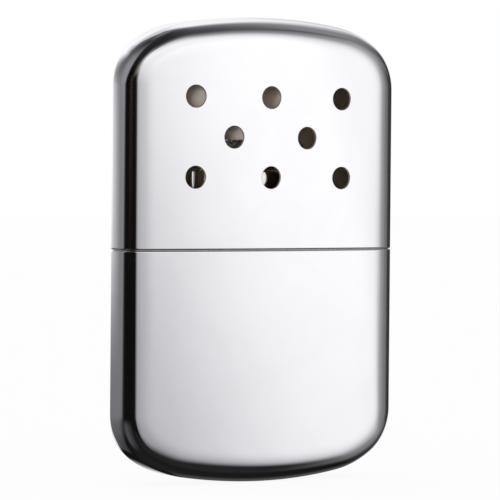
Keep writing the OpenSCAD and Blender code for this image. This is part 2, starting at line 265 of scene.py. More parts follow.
def outline_normal(point):
    """The outward direction of the case's outline, seen from the front, at a point near it."""
    across, above = abs(point.x), abs(point.z - waist)
    for middle_across, middle_above, end, _ in arcs:
        away = Vector((across - middle_across, 0, max(above - middle_above, 0)))
        if math.atan2(away.z, away.x) <= end + 1e-5:
            break
    away.normalize()
    return Vector((math.copysign(away.x, point.x), 0, math.copysign(away.z, point.z - waist)))


def face_depth(x):
    """How far the broad face stands from the middle of the case, at x across it."""
    return math.sqrt(face_radius ** 2 - x ** 2) - face_radius + half_depth


# the face turns down this far, over this width, before the rounded edge takes over, as
# buffing leaves it; without that ease the reflections would break off at the edge
ease_turn = math.radians(8)
ease_width = mm(3.6)
ease_rings = [mm(v) for v in (0.25, 0.6, 1.0, 1.5, 2.1, 2.8, 3.6)]


def face_ease(inward):
    """How far the eased face has dropped, at a distance inward of the rounded edge."""
    left = min(max(1 - inward / ease_width, 0), 1)
    return ease_turn * ease_width / 3 * left ** 3


def roll_edge(point, inward):
    """Carries a point of the square-faced block onto the finished form, where a ball of
    edge_round rolls along inside both the curved face and the side."""
    facing = math.copysign(1, point.y)
    if inward > 0:
        depth = face_depth(point.x) - face_ease(inward + edge_round * math.sin(ease_turn))
        return Vector((point.x, facing * depth, point.z))
    rise = min(max((abs(point.y) - half_depth + edge_round) / edge_round, 0), 1)
    turned = math.acos(rise)
    side = outline_normal(point)
    ball = point - side * edge_round * math.sin(turned)
    turned = ease_turn + turned * (1 - ease_turn / (math.pi / 2))
    ball_depth = math.sqrt(ball_reach ** 2 - ball.x ** 2) - face_radius + half_depth
    ball.y = facing * (ball_depth - face_ease(0) + edge_round * (1 - math.cos(ease_turn)))
    front = Vector((ball.x / ball_reach, facing * math.sqrt(1 - (ball.x / ball_reach) ** 2), 0))
    return ball + front.slerp(side, turned / (math.pi / 2)) * edge_round


def only_verts(geometry):
    """The vertices among the elements that an operator gives back."""
    return [v for v in geometry if isinstance(v, bmesh.types.BMVert)]


def last_point(spun):
    """The point at which a spin ends."""
    return only_verts(spun["geom_last"])[0]


def close_sides(bm):
    """Joins the open ends of two facing curves, one edge on each side."""
    ends = sorted((v for v in bm.verts if len(v.link_edges) == 1), key=lambda v: v.co.x)
    bm.edges.new(ends[:2])
    bm.edges.new(ends[2:])


def case_form():
    """The closed case as a bmesh: a flat outline made into a block, its rims rounded, its
    broad faces split into upright strips, and the whole eased onto its curves."""
    bm = bmesh.new()
    at = bm.verts.new((half_width, 0, waist + corner_above))
    begun = 0
    for middle_across, middle_above, end, steps in arcs:
        at = last_point(bmesh.ops.spin(
            bm, geom=[at], cent=(middle_across, 0, waist + middle_above), axis=(0, -1, 0),
            angle=end - begun, steps=steps))
        begun = end
    bmesh.ops.remove_doubles(bm, verts=bm.verts, dist=same_place)
    for axis in ("X", "Z"):
        bmesh.ops.mirror(bm, geom=bm.verts[:] + bm.edges[:], axis=axis, merge_dist=1e-6,
                         matrix=Matrix.Translation((0, 0, -waist)))
    close_sides(bm)
    outline = bmesh.ops.contextual_create(bm, geom=bm.edges[:])["faces"]
    bmesh.ops.translate(bm, verts=bm.verts, vec=(0, -half_depth, 0))
    pushed = bmesh.ops.extrude_face_region(bm, geom=outline, use_keep_orig=True)["geom"]
    bmesh.ops.translate(bm, verts=only_verts(pushed), vec=(0, 2 * half_depth, 0))
    rims = [e for e in bm.edges if abs(e.verts[0].co.y - e.verts[1].co.y) < 1e-6]
    bmesh.ops.bevel(bm, geom=rims, offset=edge_round, segments=10, profile=0.5,
                    affect="EDGES", material=-1)
    inward = bm.verts.layers.float.new("inward")
    for face in [f for f in bm.faces if len(f.verts) > 4]:
        reached = 0
        for ring in ease_rings:
            bmesh.ops.inset_region(bm, faces=[face], thickness=ring - reached,
                                   use_even_offset=True)
            reached = ring
            for vert in face.verts:
                vert[inward] = ring
        uppers = sorted((v for v in face.verts if v.co.z > waist), key=lambda v: v.co.x)
        lowers = [v for v in face.verts if v.co.z < waist]
        last = uppers[0].co.x
        for upper in uppers:
            if min(upper.co.x - last, uppers[-1].co.x - upper.co.x) > narrowest_strip:
                foot = Vector((upper.co.x, upper.co.y, 2 * waist - upper.co.z))
                lower = min(lowers, key=lambda v: (v.co - foot).length)
                if (lower.co - foot).length < mm(0.01):
                    last = upper.co.x
                    bmesh.ops.connect_vert_pair(bm, verts=[upper, lower])
    for vert in bm.verts:
        vert.co = roll_edge(vert.co, vert[inward])
    bmesh.ops.recalc_face_normals(bm, faces=bm.faces)
    return bm


def cut_level(bm, height, drop_above=False, drop_below=False):
    """Cuts a bmesh along a level plane, and drops what lies above or below it if asked."""
    bmesh.ops.bisect_plane(bm, geom=bm.verts[:] + bm.edges[:] + bm.faces[:], dist=same_place,
                           plane_co=(0, 0, height), plane_no=(0, 0, 1),
                           clear_inner=drop_below, clear_outer=drop_above)


# cut edges and the rim at the seam are rounded this much, and a narrow ring of faces beside
# the seam keeps its round out of the shading of the wall
cut_round, seam_round, seam_ring = mm(0.1), mm(0.28), mm(0.42)


def draw_half(bm, seam):
    """Gives one half of the form the thickness of its sheet, inwards, and rounds over its
    cut edges and the rim at the seam."""
    bmesh.ops.recalc_face_normals(bm, faces=bm.faces)
    rim = [e for e in bm.edges if e.is_boundary
           and max(abs(v.co.z - seam) for v in e.verts) < mm(0.01)]
    skin = set(bm.faces)
    bmesh.ops.solidify(bm, geom=bm.faces[:], thickness=sheet)
    for face in set(bm.faces) - skin:
        face.material_index = 1
    cuts = [e for e in bm.edges if e.is_manifold and e not in rim and e.calc_face_angle() > sharp]
    bmesh.ops.bevel(bm, geom=cuts, offset=cut_round, segments=2, profile=0.5,
                    affect="EDGES", material=0)
    bmesh.ops.bevel(bm, geom=[e for e in rim if e.is_valid], offset=seam_round,
                    segments=4, profile=0.5, affect="EDGES", material=0)


def finished(bm, name, *materials, by_area=True):
    """Writes a bmesh to a new smooth-shaded object at the origin. by_area keeps the large
    faces beside a small round flat to the eye."""
    piece = bpy.data.objects.new(name, bpy.data.meshes.new(name))
    bm.to_mesh(piece.data)
    bm.free()
    piece.data.shade_smooth()
    if by_area:
        piece.modifiers.new("normals_by_area", "WEIGHTED_NORMAL")
    for material in materials:
        piece.data.materials.append(material)
    bpy.context.collection.objects.link(piece)
    return piece


chrome = bpy.data.materials.new("buffed_chrome_plate")
tree = fresh_nodes(chrome)
here = add(tree, "ShaderNodeTexCoord").outputs["Object"]
# buffing leaves the sheet very slightly wavy, with dips some 12 mm across; hairlines from
# wiping run up the case, really 0.02 mm wide and drawn at 0.15 mm; hands leave faint smears
dips = add(tree, "ShaderNodeTexNoise", {"Vector": here, "Scale": 80.0, "Detail": 1.0}).outputs[0]
smear = add(tree, "ShaderNodeTexNoise", {
    "Vector": here, "Scale": 55.0, "Detail": 5.0, "Roughness": 0.6, "Distortion": 0.8}).outputs[0]
wiped = add(tree, "ShaderNodeMapping", {
    "Vector": here, "Rotation": (0.0, 0.05, 0.0), "Scale": (1.0, 1.0, 0.008)}).outputs[0]
hairline = add(tree, "ShaderNodeTexNoise", {
    "Vector": wiped, "Scale": 6500.0, "Detail": 2.0, "Distortion": 0.3}).outputs[0]
hairline = add(tree, "ShaderNodeMapRange", {0: hairline, 1: 0.66, 2: 0.74}).outputs[0]
tint = add(tree, "ShaderNodeValToRGB", {0: smear}, stops=[
    (0.3, "#f0eff1"), (0.6, "#f4f3f5")]).outputs[0]
rough = add(tree, "ShaderNodeMapRange", {0: smear, 1: 0.35, 2: 0.75, 3: 0.034, 4: 0.07}).outputs[0]
rough = add(tree, "ShaderNodeMath", {0: hairline, 1: 0.035, 2: rough},
            operation="MULTIPLY_ADD").outputs[0]
relief = add(tree, "ShaderNodeBump", {"Height": dips, "Strength": 0.5, "Distance": 0.00002})
plate = add(tree, "ShaderNodeBsdfPrincipled", {
    "Base Color": tint, "Metallic": 1.0, "Roughness": rough, "Normal": relief.outputs[0]}).outputs[0]
add(tree, "ShaderNodeOutputMaterial", {"Surface": plate})

nickel = bpy.data.materials.new("unbuffed_nickel_inside")
tree = fresh_nodes(nickel)
here = add(tree, "ShaderNodeTexCoord").outputs["Object"]
# inside, the drawing marks stay: lines up the wall, really 0.05 mm apart and drawn at 0.4 mm.
# A thin film of heat-browned fuel dulls it, and comes and goes over about a centimetre
drawn = add(tree, "ShaderNodeMapping", {"Vector": here, "Scale": (1.0, 1.0, 0.04)}).outputs[0]
marks = add(tree, "ShaderNodeTexNoise", {"Vector": drawn, "Scale": 2500.0, "Detail": 3.0}).outputs[0]
stain = add(tree, "ShaderNodeTexNoise", {
    "Vector": here, "Scale": 100.0, "Detail": 4.0, "Distortion": 0.6}).outputs[0]
tint = add(tree, "ShaderNodeValToRGB", {0: stain}, stops=[
    (0.3, "#d3c2b2"), (0.5, "#e0d2c5"), (0.75, "#ebe2d9")]).outputs[0]
rough = add(tree, "ShaderNodeMapRange", {0: marks, 3: 0.12, 4: 0.22}).outputs[0]
relief = add(tree, "ShaderNodeBump", {"Height": marks, "Strength": 0.15, "Distance": 0.00005})
plate = add(tree, "ShaderNodeBsdfPrincipled", {
    "Base Color": tint, "Metallic": 0.4, "Roughness": rough, "Normal": relief.outputs[0]}).outputs[0]
add(tree, "ShaderNodeOutputMaterial", {"Surface": plate})

bm = case_form()
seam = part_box("tank_shell")[1].z
cut_level(bm, seam, drop_above=True)
cut_level(bm, seam - seam_ring)
draw_half(bm, seam)
tank = finished(bm, "tank", chrome, nickel, by_area=False)
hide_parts("tank_shell")
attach(tank, "tank")


# ---------------------------------------------------------------------------
# The cotton: three wads of loose white cotton wool, pushed down into the tank one after
# another. The lowest takes the shape of the rounded bottom, and all are lumpy and fibrous.
wad_round = mm(2.2)
wad_step = mm(0.62)
# the lumps of a wad, as (size across, depth) in mm
wad_lumps = ((7.0, 0.75), (2.4, 0.4), (0.9, 0.15))
# a strand starts at every 45th point of a wad's skin and takes from 8 to 20 strides; noise of
# these sizes gives its first heading and then bends it, with this pull
strand_width, strand_stride, strand_lift = mm(0.05), mm(0.7), mm(0.14)
strand_gap, fewest_strides, more_strides = 45, 8, 13
first_curl, curl, curl_pull = mm(5), mm(2.6), 0.55

cotton = bpy.data.materials.new("loose_cotton_wool")
tree = fresh_nodes(cotton)
here = add(tree, "ShaderNodeTexCoord").outputs["Object"]
# fibres of 0.02 mm are far too fine to show, so locks of about 0.9 mm stand for them
lock = add(tree, "ShaderNodeTexNoise", {
    "Vector": here, "Scale": 1100.0, "Detail": 6.0, "Roughness": 0.72, "Distortion": 3.0})
fluff = add(tree, "ShaderNodeTexNoise", {"Vector": here, "Scale": 190.0, "Detail": 3.0})
tint = add(tree, "ShaderNodeValToRGB", {0: lock.outputs[0]}, stops=[
    (0.25, "#d9d5ca"), (0.5, "#f0eee6"), (0.75, "#fcfbf8")]).outputs[0]
relief = add(tree, "ShaderNodeMath", {0: lock.outputs[0], 1: 0.4, 2: fluff.outputs[0]},
             operation="MULTIPLY_ADD").outputs[0]
relief = add(tree, "ShaderNodeBump", {"Height": relief, "Strength": 1.0, "Distance": 0.0008})
wool = add(tree, "ShaderNodeBsdfPrincipled", {
    "Base Color": tint, "Roughness": 0.95, "Normal": relief.outputs[0],
    "Sheen Weight": 0.4, "Sheen Roughness": 0.6, "Specular IOR Level": 0.15}).outputs[0]
add(tree, "ShaderNodeOutputMaterial", {"Surface": wool})


def lay_strand(strands, skin, spot, strides):
    """Lays one stray lock of fibres over a wad, wandering over its skin from a spot on it
    and standing a little off it in the middle."""
    heading = noise.noise_vector(spot / first_curl).normalized()
    course = []
    for i in range(strides):
        _, spot, outward, _ = skin.closest_point_on_mesh(spot + heading * strand_stride)
        course.append(spot + outward * strand_lift * math.sin(math.pi * i / (strides - 1)))
        heading += noise.noise_vector(spot / curl) * curl_pull
        heading = (heading - outward * heading.dot(outward)).normalized()
    line = strands.splines.new("NURBS")
    line.points.add(strides - 1)
    line.order_u, line.use_endpoint_u, line.resolution_u = 4, True, 2
    for point, place in zip(line.points, course):
        point.co = (*place, 1)


for order, node in enumerate(("cotton_lower", "cotton_middle", "cotton_upper")):
    low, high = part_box(node)
    bm = case_form()
    bm.normal_update()
    for vert in bm.verts:
        vert.co -= vert.normal * (half_width - high.x)
    cut_level(bm, high.z, drop_above=True)
    if order:
        cut_level(bm, low.z, drop_below=True)
    bmesh.ops.holes_fill(bm, edges=bm.edges[:], sides=0)
    rims = [e for e in bm.edges if e.is_manifold and e.calc_face_angle() > sharp]
    bmesh.ops.bevel(bm, geom=rims, offset=wad_round, segments=5, profile=0.5,
                    affect="EDGES", material=-1)
    form = bpy.data.objects.new("wad_form", bpy.data.meshes.new("wad_form"))
    bm.to_mesh(form.data)
    bm.free()
    bpy.context.collection.objects.link(form)
    even = form.modifiers.new("even_faces", "REMESH")
    even.mode, even.voxel_size = "VOXEL", wad_step
    for size, depth in wad_lumps:
        lumps = bpy.data.textures.new(f"lumps_{size}_{order}", "CLOUDS")
        lumps.noise_scale = mm(size)
        lumps.noise_depth = 2
        push = form.modifiers.new(f"lumps_{size}", "DISPLACE")
        push.texture, push.texture_coords = lumps, "LOCAL"
        push.strength, push.mid_level = mm(depth), 1.0
    bpy.context.view_layer.update()
    lumpy = form.evaluated_get(bpy.context.evaluated_depsgraph_get())
    bm = bmesh.new()
    bm.from_mesh(lumpy.to_mesh())
    strands = bpy.data.curves.new("stray_strands", "CURVE")
    strands.dimensions = "3D"
    strands.bevel_depth, strands.bevel_resolution = strand_width / 2, 0
    starts = [vert.co.copy() for vert in bm.verts][order::strand_gap]
    for turn, start in enumerate(starts):
        lay_strand(strands, lumpy, start, fewest_strides + turn * 5 % more_strides)
    lumpy.to_mesh_clear()
    loose = bpy.data.objects.new("stray_strands", strands)
    bpy.context.collection.objects.link(loose)
    bpy.context.view_layer.update()
    bm.from_mesh(loose.to_mesh())
    loose.to_mesh_clear()
    for spent in (loose, form):
        bpy.data.objects.remove(spent)
    wad = finished(bm, node.replace("cotton", "cotton_wad"), cotton, by_area=False)
    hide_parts(node)
    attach(wad, "tank")


# ---------------------------------------------------------------------------
# The collar: a sleeve of 0.4 mm nickel-plated brass pressed into the tank's mouth. It steps
# in at the seam so that the lid slides over it, and its upper edge is turned in.
ball_across = half_width - edge_round
ball_out = math.sqrt(ball_reach ** 2 - ball_across ** 2) - face_radius + half_depth
face_turn = math.acos(ball_across / ball_reach)


def case_loop(bm, inset, height):
    """Draws the case's level section, drawn in by inset, as a closed loop of edges in an
    empty bmesh."""
    at = bm.verts.new((half_width - inset, ball_out, height))
    for centre, angle, steps in (
            ((ball_across, ball_out, height), face_turn, 8),
            ((0, half_depth - face_radius, height), math.pi - 2 * face_turn, 40),
            ((-ball_across, ball_out, height), face_turn, 8)):
        at = last_point(bmesh.ops.spin(bm, geom=[at], cent=centre, axis=(0, 0, 1),
                                       angle=angle, steps=steps))
    bmesh.ops.mirror(bm, geom=bm.verts[:] + bm.edges[:], axis="Y", merge_dist=same_place,
                     matrix=Matrix.Identity(4))
    close_sides(bm)
    return bm.edges[:]


def case_outward(point):
    """The level direction that faces out of the case's section at a point near it."""
    away = Vector((abs(point.x) - ball_across, max(abs(point.y) - ball_out, 0), 0))
    if away.x <= 0 or math.atan2(away.y, away.x) > face_turn:
        away = Vector((abs(point.x), abs(point.y) + face_radius - half_depth, 0))
    away.normalize()
    return Vector((math.copysign(away.x, point.x), math.copysign(away.y, point.y), 0))


def bend(inset, height, radius, start, end, steps=4):
    """A round in a section, as (inset, height) pairs in mm: its centre, its radius and the
    directions it runs from and to, in degrees, with 0 outwards and 90 upwards."""
    turns = [math.radians(start + (end - start) * i / steps) for i in range(steps + 1)]
    return [(inset - radius * math.cos(a), height + radius * math.sin(a)) for a in turns]


def round_reach(radius, turn):
    """How far a round reaches along its sides from the corner that it takes off, where they
    turn by so many degrees."""
    return radius * math.tan(math.radians(turn / 2))


def draw_wall(bm, ring, outward, section):
    """Draws a wall from a ring of edges through the (inset, height) pairs of a section, in
    mm, of which the first is where the ring is. Returns the last ring."""
    last = section[0][0]
    for inset, height in section[1:]:
        drawn = bmesh.ops.extrude_edge_only(bm, edges=ring)["geom"]
        fresh = set(only_verts(drawn))
        ring = [e for e in drawn if isinstance(e, bmesh.types.BMEdge) and fresh.issuperset(e.verts)]
        for vert in fresh:
            vert.co += outward(vert.co) * mm(last - inset)
            vert.co.z = mm(height)
        last = inset
    return ring


def ease_section(bm):
    """Drops the broad faces of a wall towards their sides, as the case's own faces are."""
    for vert in bm.verts:
        inward = half_width - edge_round - abs(vert.co.x)
        if abs(vert.co.y) > ball_out / 2:
            vert.co.y -= math.copysign(face_ease(inward), vert.co.y)


def close_up(bm):
    """Merges the last ring of a wall with its first and turns every face outwards."""
    bmesh.ops.remove_doubles(bm, verts=bm.verts, dist=same_place)
    bmesh.ops.recalc_face_normals(bm, faces=bm.faces)


plated = bpy.data.materials.new("satin_nickel_plate")
tree = fresh_nodes(plated)
here = add(tree, "ShaderNodeTexCoord").outputs["Object"]
# the drawing die leaves lines up the wall, really about 0.05 mm apart and drawn at 0.15 mm
upright = add(tree, "ShaderNodeMapping", {"Vector": here, "Scale": (1.0, 1.0, 0.02)}).outputs[0]
lines = add(tree, "ShaderNodeTexNoise", {"Vector": upright, "Scale": 6600.0, "Detail": 3.0}).outputs[0]
stain = add(tree, "ShaderNodeTexNoise", {"Vector": here, "Scale": 120.0, "Detail": 4.0}).outputs[0]
tint = add(tree, "ShaderNodeValToRGB", {0: stain}, stops=[
    (0.3, "#c6c0b6"), (0.55, "#d6d2c9"), (0.8, "#e0ddd6")]).outputs[0]
rough = add(tree, "ShaderNodeMapRange", {0: lines, 3: 0.2, 4: 0.32}).outputs[0]
relief = add(tree, "ShaderNodeBump", {"Height": lines, "Strength": 0.15, "Distance": 0.00003})
satin = add(tree, "ShaderNodeBsdfPrincipled", {
    "Base Color": tint, "Metallic": 1.0, "Roughness": rough, "Normal": relief.outputs[0]})
add(tree, "ShaderNodeOutputMaterial", {"Surface": satin.outputs[0]})

# the sizes of the wall sections, from here to the sleeve's, are in mm. The collar's insets
# are counted from the outside of the case: wall is its face against the tank, and slide is
# its face above the step, clear of the lid
thin = 0.4
lid_fit = 0.12
collar_low, collar_high = (corner.z * 1000 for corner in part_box("tank_collar"))
wall = sheet * 1000
slide = wall + lid_fit
lip_round, inner_lip, hem_round = 0.3, 0.35, 0.1
step_below_seam, step_rise, step_round = 1, 0.3, 0.5
step = seam * 1000 - step_below_seam
step_turn = math.degrees(math.atan(lid_fit / step_rise))
step_ease = round_reach(step_round, step_turn)
outside = (bend(slide + lip_round, collar_high - lip_round, lip_round, 90, 0)
           + bend(slide - step_round, step + step_rise + step_ease, step_round,
                  180, 180 + step_turn, 3)
           + bend(wall + step_round, step - step_ease, step_round, step_turn, 0, 3)
           + bend(wall + hem_round, collar_low + hem_round, hem_round, 0, -90, 3))
inside = (bend(wall + thin - hem_round, collar_low + hem_round, hem_round, -90, -180, 3)
          + [(wall + thin, step), (slide + thin, step + step_rise)]
          + bend(slide + thin + lip_round, collar_high - inner_lip, lip_round, 0, 60, 2)
          + [(slide + lip_round, collar_high)])
bm = bmesh.new()
draw_wall(bm, case_loop(bm, mm(outside[0][0]), mm(collar_high)), case_outward, outside + inside)
ease_section(bm)
close_up(bm)
collar = finished(bm, "collar", plated)
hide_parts("tank_collar")
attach(collar, "tank")


# ---------------------------------------------------------------------------
# The neck plate: one piece of nickel-plated brass soldered inside the collar, drawn up in
# the middle into the oblong neck that carries the burner. Its lip is rolled inwards.
def oblong_loop(bm, length, width, height, steps=14, cuts=0):
    """Draws a closed loop of edges round an oblong with half-round ends, in mm, with its
    straight sides cut into pieces."""
    before = set(bm.edges)
    reach = mm(length - width) / 2
    ends = []
    for side in (1, -1):
        first = bm.verts.new((side * reach, -side * mm(width) / 2, mm(height)))
        ends.append((first, last_point(bmesh.ops.spin(
            bm, geom=[first], cent=(side * reach, 0, mm(height)), axis=(0, 0, 1),
            angle=math.pi, steps=steps))))
    straights = [bm.edges.new((ends[0][1], ends[1][0])), bm.edges.new((ends[1][1], ends[0][0]))]
    if cuts:
        bmesh.ops.subdivide_edges(bm, edges=straights, cuts=cuts)
    return [e for e in bm.edges if e not in before]


def oblong_outward(reach):
    """The level direction that faces out of an oblong whose end centres lie at +-reach mm."""
    def outward(point):
        along = min(max(point.x, -mm(reach)), mm(reach))
        return Vector((point.x - along, point.y, 0)).normalized()
    return outward


plate_drop, plate_round = 0.8, 0.05
plate_top = collar_high - plate_drop
neck_low, neck_high = (corner.z * 1000 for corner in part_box("neck_plate"))
neck_l, neck_w, roll = 29.1, 7.1, 0.7
neck_reach = (neck_l - neck_w) / 2
section = (bend(-roll, plate_top + roll, roll, -90, -180)
           + bend(roll, neck_high - roll, roll, 0, 90)
           + bend(roll, neck_high - thin / 2, thin / 2, 90, 270)
           + bend(roll, neck_high - roll, roll - thin, 90, 0)
           + bend(-roll, plate_top + roll, roll + thin, 180, 270))
plate_edge = slide + thin + plate_round
rim_section = (bend(plate_edge, neck_low + plate_round, plate_round, -90, 0, 2)
               + bend(plate_edge, plate_top - plate_round, plate_round, 0, 90, 2))
bm = bmesh.new()
under = case_loop(bm, mm(rim_section[0][0]), mm(neck_low))
over = draw_wall(bm, under, case_outward, rim_section)
foot = oblong_loop(bm, neck_l + 2 * roll, neck_w + 2 * roll, plate_top)
inner_foot = draw_wall(bm, foot, oblong_outward(neck_reach), section)
for flat_edges in (over + foot, under + inner_foot):
    bmesh.ops.triangle_fill(bm, edges=flat_edges, use_beauty=True, normal=(0, 0, 1))
ease_section(bm)
close_up(bm)
neck = finished(bm, "neck", plated)
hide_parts("neck_plate")
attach(neck, "tank")


# ---------------------------------------------------------------------------
# The felt wick: a strip of pressed white felt that fills the neck and touches the cotton.
# It is cut square and its top is crowned, with the nap of the felt standing off it.
def pad_block(low, high, crown, depth, grain):
    """A soft block in an oblong between two corners, cut nearly square below and crowned on
    top. Its skin is pushed in by noise of one grain, in mm, by at most depth."""
    foot, top = low.z * 1000, high.z * 1000
    length, width = (high.x - low.x) * 1000, (high.y - low.y) * 1000
    foot_round, half = 0.4, width / 2
    heart = half - 0.001
    flank = top - crown - foot - foot_round
    section = ([(heart, foot)]
               + [(half - i * (half - foot_round) / 4, foot) for i in range(1, 4)]
               + bend(foot_round, foot + foot_round, foot_round, -90, 0, 3)
               + [(0, foot + foot_round + flank * i / 10) for i in range(1, 10)]
               + bend(crown, top - crown, crown, 0, 90, 4)
               + [(crown + i * (half - crown) / 5, top) for i in range(1, 5)]
               + [(heart, top)])
    bm = bmesh.new()
    ring = oblong_loop(bm, length, width, foot, steps=16, cuts=30)
    outward = oblong_outward((length - width) / 2)
    for vert in bm.verts:
        vert.co = vert.co - outward(vert.co) * mm(heart)
    draw_wall(bm, ring, outward, section)
    bmesh.ops.remove_doubles(bm, verts=bm.verts, dist=mm(0.01))
    bmesh.ops.recalc_face_normals(bm, faces=bm.faces)
    bm.normal_update()
    for vert in bm.verts:
        lump = noise.noise(vert.co / mm(grain)) + 0.5 * noise.noise(vert.co / mm(grain / 2.3))
        vert.co -= vert.normal * mm(depth) * min(max(0.5 + 0.5 * lump, 0), 1)
    return bm


felt = bpy.data.materials.new("pressed_white_felt")
tree = fresh_nodes(felt)
here = add(tree, "ShaderNodeTexCoord").outputs["Object"]
# matted wool fibres, really 0.03 mm thick, drawn as curled hairs of about 0.4 mm
hair = add(tree, "ShaderNodeTexNoise", {
    "Vector": here, "Scale": 2400.0, "Detail": 5.0, "Roughness": 0.65, "Distortion": 3.0})
mat_lump = add(tree, "ShaderNodeTexNoise", {"Vector": here, "Scale": 500.0, "Detail": 3.0})
tint = add(tree, "ShaderNodeValToRGB", {0: hair.outputs[0]}, stops=[
    (0.3, "#b7ae9b"), (0.5, "#ded7c7"), (0.7, "#f1ece0")]).outputs[0]
relief = add(tree, "ShaderNodeMath", {0: hair.outputs[0], 1: 0.5, 2: mat_lump.outputs[0]},
             operation="MULTIPLY_ADD").outputs[0]
relief = add(tree, "ShaderNodeBump", {"Height": relief, "Strength": 0.8, "Distance": 0.0003})
pressed = add(tree, "ShaderNodeBsdfPrincipled", {
    "Base Color": tint, "Roughness": 0.92, "Normal": relief.outputs[0],
    "Sheen Weight": 0.25, "Specular IOR Level": 0.25}).outputs[0]
add(tree, "ShaderNodeOutputMaterial", {"Surface": pressed})

bm = pad_block(*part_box("felt_wick"), crown=0.6, depth=0.12, grain=1.1)
wick = finished(bm, "felt_pad", felt)
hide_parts("felt_wick")
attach(wick, "tank")


# ---------------------------------------------------------------------------
# The screen: fine steel wire in a plain weave, held in a flat stamped rim that is welded
# under the cage. It carries the catalyst above the felt.
wire_d, wire_pitch, wire_steps = 0.15, 0.75, 4
rim_w, rim_round, end_gap = 0.7, 0.08, 0.2
low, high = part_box("burner_screen")
screen_low, screen_high = low.z * 1000, high.z * 1000
screen_l, screen_w = ((high[i] - low[i]) * 1000 for i in (0, 1))
screen_reach = (screen_l - screen_w) / 2
middle = (screen_low + screen_high) / 2
cloth_half = screen_w / 2 - rim_w / 2

wires = bpy.data.curves.new("woven_wires", "CURVE")
wires.dimensions = "3D"
wires.bevel_depth = mm(wire_d) / 2
wires.bevel_resolution = 1
wires.use_fill_caps = True


def weave_wire(along, place, reach, phase):
    """Lays one wire of the weave: along 0 runs it across the screen's length and 1 across
    its width, at a place to the side, rising over and under its neighbours."""
    count = max(int(2 * reach / wire_pitch * wire_steps), 2 * wire_steps)
    line = wires.splines.new("POLY")
    line.points.add(count)
    for i, point in enumerate(line.points):
        run = -reach + 2 * reach * i / count
        rise = wire_d / 2 * math.cos(math.pi * (run / wire_pitch + phase))
        spot = [run, place] if along == 0 else [place, run]
        point.co = (*(mm(v) for v in (*spot, middle + rise)), 1)


rows = int(cloth_half / wire_pitch)
for row in range(-rows, rows + 1):
    place = row * wire_pitch
    weave_wire(0, place, screen_reach + math.sqrt(cloth_half ** 2 - place ** 2), row)
columns = int((screen_reach + cloth_half - end_gap) / wire_pitch)
for column in range(-columns, columns + 1):
    place = column * wire_pitch
    past = max(abs(place) - screen_reach, 0)
    weave_wire(1, place, math.sqrt(cloth_half ** 2 - past ** 2), column + 1)

steel = bpy.data.materials.new("drawn_steel_wire")
tree = fresh_nodes(steel)
here = add(tree, "ShaderNodeTexCoord").outputs["Object"]
# wire that has been red hot: a dull grey, with patches of darker scale some 1.5 mm across
scale_marks = add(tree, "ShaderNodeTexNoise", {"Vector": here, "Scale": 700.0, "Detail": 4.0})
tint = add(tree, "ShaderNodeValToRGB", {0: scale_marks.outputs[0]}, stops=[
    (0.35, "#6d6963"), (0.6, "#96928b"), (0.8, "#b1ada5")]).outputs[0]
rough = add(tree, "ShaderNodeMapRange", {0: scale_marks.outputs[0], 3: 0.28, 4: 0.5}).outputs[0]
wire_metal = add(tree, "ShaderNodeBsdfPrincipled", {
    "Base Color": tint, "Metallic": 1.0, "Roughness": rough}).outputs[0]
add(tree, "ShaderNodeOutputMaterial", {"Surface": wire_metal})

woven = bpy.data.objects.new("woven_wires", wires)
bpy.context.collection.objects.link(woven)
bpy.context.view_layer.update()
bm = bmesh.new()
section = (bend(rim_round, screen_high - rim_round, rim_round, 90, 0, 2)
           + bend(rim_round, screen_low + rim_round, rim_round, 0, -90, 2)
           + bend(rim_w - rim_round, screen_low + rim_round, rim_round, -90, -180, 2)
           + bend(rim_w - rim_round, screen_high - rim_round, rim_round, 180, 90, 2)
           + [(rim_round, screen_high)])
rim = oblong_loop(bm, screen_l - 2 * rim_round, screen_w - 2 * rim_round, screen_high)
draw_wall(bm, rim, oblong_outward(screen_reach), section)
close_up(bm)
bm.from_mesh(woven.to_mesh())
woven.to_mesh_clear()
bpy.data.objects.remove(woven)
screen = finished(bm, "screen", steel)
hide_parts("burner_screen")
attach(screen, "burner")


# ---------------------------------------------------------------------------
# The catalyst: a pad of glass-fibre cloth coated with platinum, which turns it a soft grey.
# It is folded to fill the cage, and its plain weave shows in the slots.
thread = 0.55
glass = bpy.data.materials.new("platinum_coated_glass_cloth")
tree = fresh_nodes(glass)
here = add(tree, "ShaderNodeTexCoord").outputs["Object"]
spot = add(tree, "ShaderNodeSeparateXYZ", {0: here}).outputs
# a plain weave at its real spacing, where each thread is a ridge that rises over its
# neighbour or sinks under it; its fuzz of 0.01 mm fibres is drawn at 0.3 mm
waves = []
for axis in ("X", "Z"):
    turn = add(tree, "ShaderNodeMath", {0: spot[axis], 1: math.pi / mm(thread)},
               operation="MULTIPLY").outputs[0]
    waves.append(add(tree, "ShaderNodeMath", {0: turn}, operation="SINE").outputs[0])
crossing = add(tree, "ShaderNodeMath", {0: waves[0], 1: waves[1]}, operation="MULTIPLY").outputs[0]
ridges = [add(tree, "ShaderNodeMath", {0: wave}, operation="ABSOLUTE").outputs[0] for wave in waves]
warp = add(tree, "ShaderNodeMath", {0: ridges[0], 1: crossing}, operation="ADD").outputs[0]
weft = add(tree, "ShaderNodeMath", {0: ridges[1], 1: crossing}, operation="SUBTRACT").outputs[0]
weave = add(tree, "ShaderNodeMath", {0: warp, 1: weft}, operation="MAXIMUM").outputs[0]
weave = add(tree, "ShaderNodeMath", {0: weave, 1: 0.5}, operation="MULTIPLY").outputs[0]
fibre = add(tree, "ShaderNodeTexNoise", {
    "Vector": here, "Scale": 3000.0, "Detail": 4.0, "Distortion": 1.5}).outputs[0]
patch = add(tree, "ShaderNodeTexNoise", {"Vector": here, "Scale": 300.0, "Detail": 2.0}).outputs[0]
